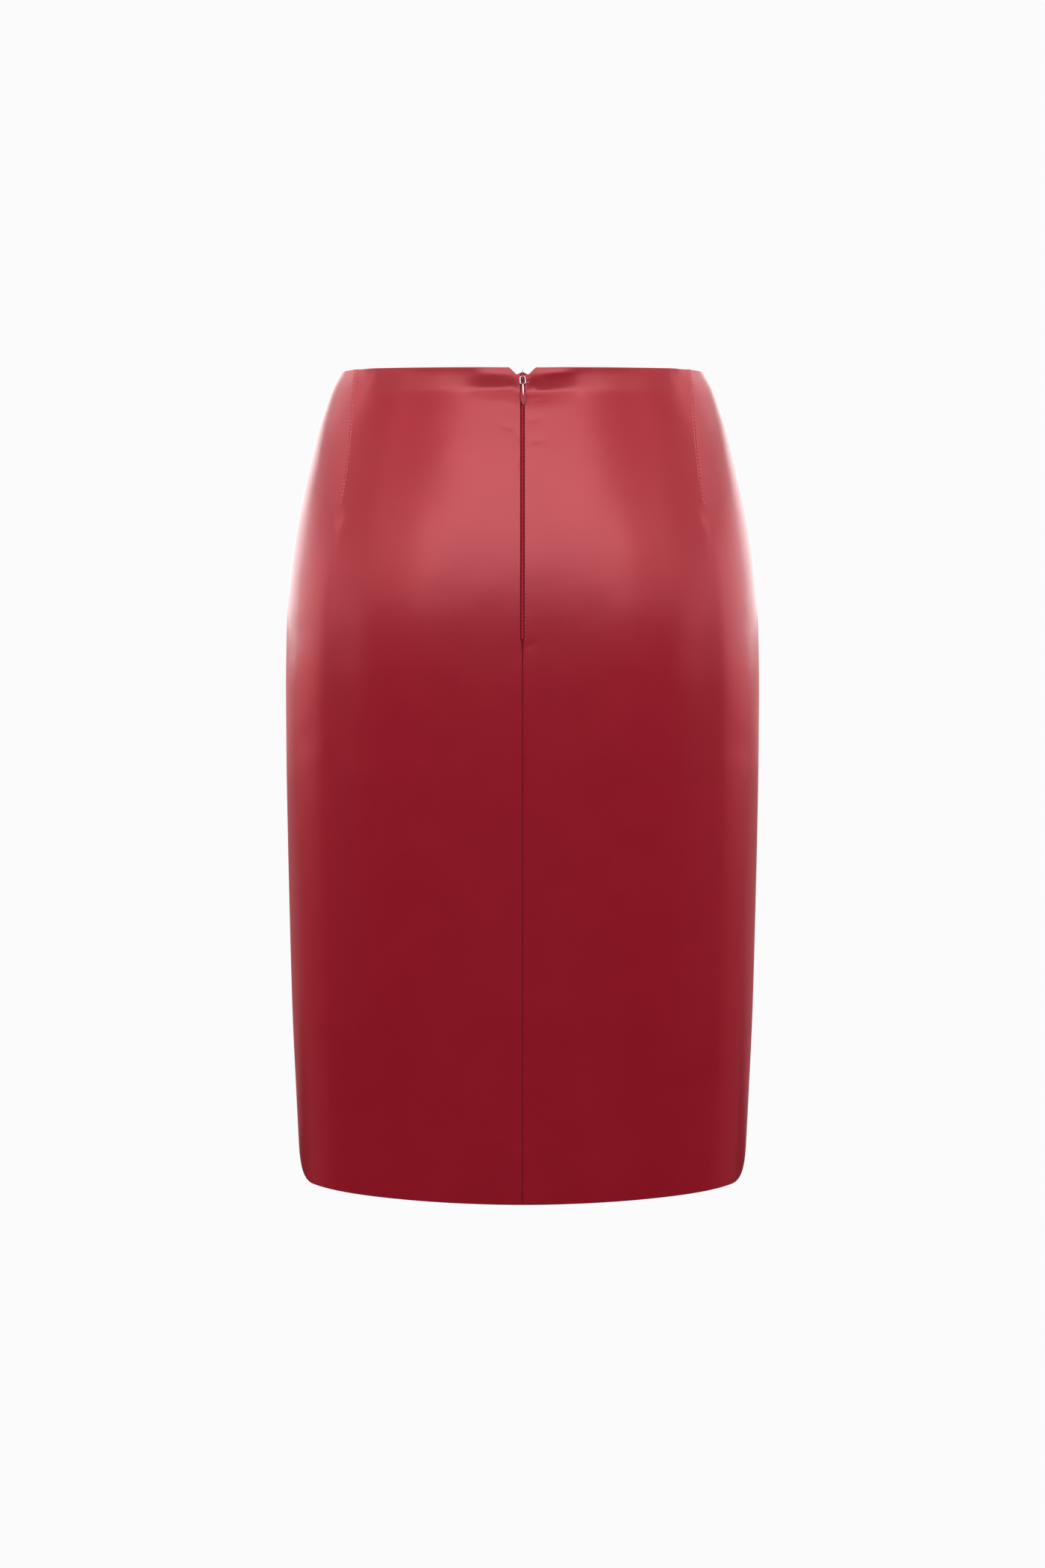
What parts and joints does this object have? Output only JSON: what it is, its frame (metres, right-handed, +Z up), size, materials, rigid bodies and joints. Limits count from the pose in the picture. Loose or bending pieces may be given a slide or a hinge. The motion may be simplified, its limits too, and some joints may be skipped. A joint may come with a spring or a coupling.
{
  "type": "leather skirt",
  "caption": "Knee-length leather pencil skirt, held hollow as when worn, with waist darts, rounded hem corners and an invisible back zip.",
  "frame": {"origin": "centre of the waist opening, level with the waist edge, where the wearer's waist holds the skirt", "axes": "+Z up, the skirt's front towards -Y and its zip towards +Y, +X towards the wearer's left"},
  "size_m": [0.3518, 0.2412, 0.602],
  "materials": {
    "leather": "smooth satin red nappa",
    "zip_tape": "fine woven polyester tape",
    "zip_coil": "dyed nylon coil",
    "slider": "red enamelled zinc",
    "pull": "glossy red enamel drop on a bright silver loop"
  },
  "bodies": {
    "skirt": {"front": "leather", "back_left": "leather", "back_right": "leather", "zip_tape_left": "zip_tape", "zip_tape_right": "zip_tape", "zip_chain": "zip_coil", "zip_slider": "slider"},
    "pull": {"zip_pull": "pull"}
  },
  "joints": [
    {"name": "pull_swing", "type": "hinge", "parent": "skirt", "child": "pull", "pos_m": [0, 0.09413, -0.00634], "axis": [1, 0, 0], "range_deg": [0, 170]}
  ]
}
